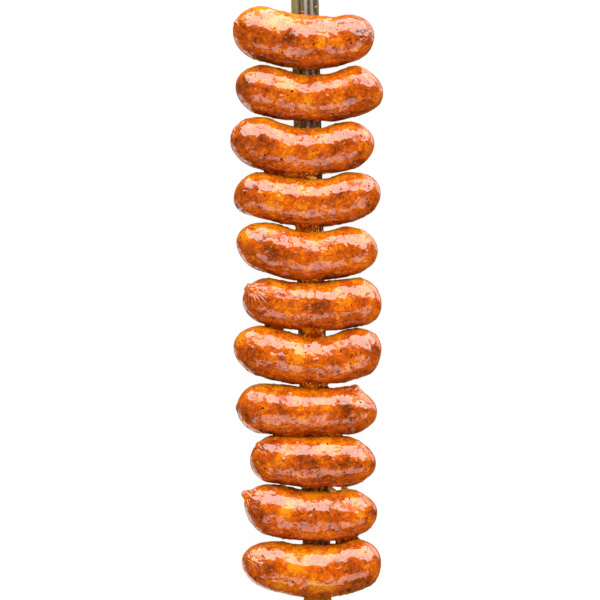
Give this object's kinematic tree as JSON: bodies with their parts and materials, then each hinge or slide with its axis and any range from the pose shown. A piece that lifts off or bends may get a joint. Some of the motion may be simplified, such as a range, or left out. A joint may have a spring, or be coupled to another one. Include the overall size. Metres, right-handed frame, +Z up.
{
  "type": "grilled sausage links on a skewer",
  "caption": "Bent, glossy grilled sausage links with round ends and twisted casing ties, threaded crosswise side by side on a flat, fluted steel skewer with a pointed tip.",
  "frame": {"origin": "on the surface that the links lie on, below the middle of the skewer's length and width", "axes": "+Y along the skewer towards its butt end, +Z up from the surface, +X to the right when the skewer's butt end is at the top"},
  "size_m": [0.112, 0.528, 0.0383],
  "materials": {
    "grilled_casing": "greasy, glossy browned casing, golden to dark brown in patches",
    "skewer_steel": "used stainless steel with a film of fat"
  },
  "bodies": {
    "root": {"skewer": "skewer_steel", "link_01": "grilled_casing", "link_02": "grilled_casing", "link_03": "grilled_casing", "link_04": "grilled_casing", "link_05": "grilled_casing", "link_06": "grilled_casing", "link_07": "grilled_casing", "link_08": "grilled_casing", "link_09": "grilled_casing", "link_10": "grilled_casing", "link_11": "grilled_casing"}
  },
  "joints": []
}
